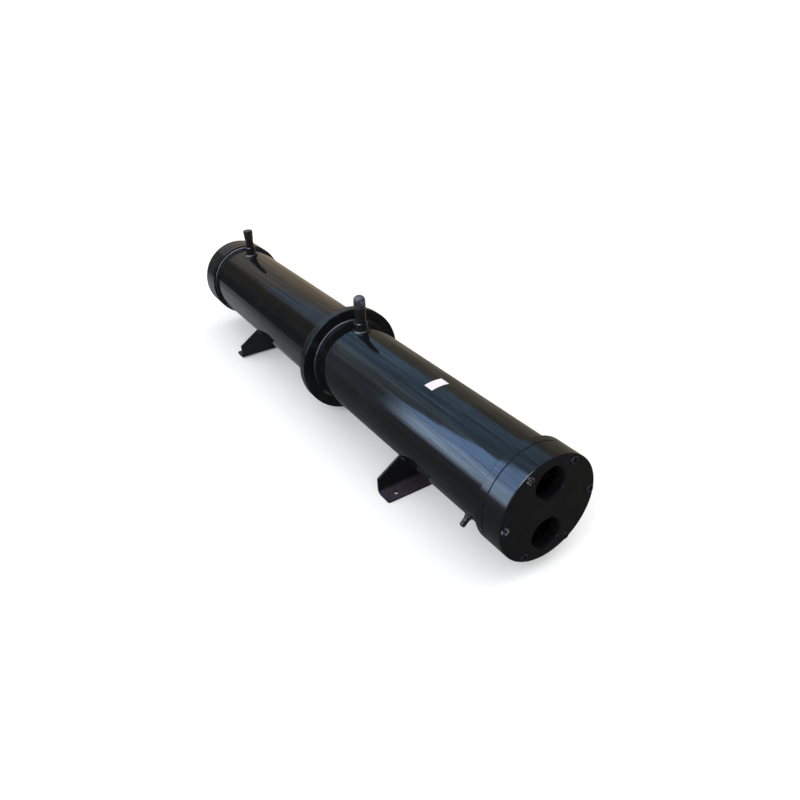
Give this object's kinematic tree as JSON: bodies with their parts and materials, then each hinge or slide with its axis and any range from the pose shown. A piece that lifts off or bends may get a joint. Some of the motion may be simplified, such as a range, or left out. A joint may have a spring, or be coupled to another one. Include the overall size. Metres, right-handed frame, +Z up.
{
  "type": "shell and tube heat exchanger",
  "caption": "Horizontal painted-steel shell and tube condenser with in-line shells, a larger middle tube sheet, bolted covers, end water ports, capped refrigerant stubs and bent plate feet.",
  "frame": {"origin": "on the floor, below the middle of the overall length and on the vertical plane through the vessel's axis", "axes": "+X along the vessel to the end with the water ports, +Z up, +Y to the side away from the liquid stubs"},
  "size_m": [1.569, 0.286, 0.3635],
  "materials": {
    "vessel_paint": "gloss black enamel on steel",
    "cover_paint": "semi-gloss black paint on a cast cover",
    "stub_paint": "gloss black paint",
    "weld_paint": "black paint over weld beads",
    "foot_paint": "dull black paint, dusty",
    "screw_steel": "black oxide",
    "gasket_rubber": "matt",
    "tube_copper": "drawn copper",
    "front_cap_plastic": "matt grey-violet",
    "black_cap_plastic": "matt black",
    "label_paper": "plain white film"
  },
  "bodies": {
    "root": {"blank_label": "label_paper", "front_cover": "cover_paint", "front_cover_screw_1": "screw_steel", "front_cover_screw_2": "screw_steel", "front_cover_screw_3": "screw_steel", "front_cover_screw_4": "screw_steel", "front_cover_screw_5": "screw_steel", "front_cover_screw_6": "screw_steel", "front_foot": "foot_paint", "front_gas_cap": "front_cap_plastic", "front_gas_socket": "stub_paint", "front_gas_tube": "stub_paint", "front_gasket": "gasket_rubber", "front_liquid_cap": "black_cap_plastic", "front_liquid_socket": "stub_paint", "front_liquid_tube": "stub_paint", "front_sheet_weld": "weld_paint", "front_shell": "vessel_paint", "front_tube_sheet": "vessel_paint", "lower_pass_tubes": "tube_copper", "middle_sheet_front_weld": "weld_paint", "middle_sheet_rear_weld": "weld_paint", "middle_tube_sheet": "vessel_paint", "rear_cover": "cover_paint", "rear_cover_screw_1": "screw_steel", "rear_cover_screw_2": "screw_steel", "rear_cover_screw_3": "screw_steel", "rear_cover_screw_4": "screw_steel", "rear_cover_screw_5": "screw_steel", "rear_cover_screw_6": "screw_steel", "rear_foot": "foot_paint", "rear_gas_cap": "black_cap_plastic", "rear_gas_socket": "stub_paint", "rear_gas_tube": "stub_paint", "rear_gasket": "gasket_rubber", "rear_liquid_cap": "black_cap_plastic", "rear_liquid_socket": "stub_paint", "rear_liquid_tube": "stub_paint", "rear_sheet_weld": "weld_paint", "rear_shell": "vessel_paint", "rear_tube_sheet": "vessel_paint", "upper_pass_tubes": "tube_copper"}
  },
  "joints": []
}
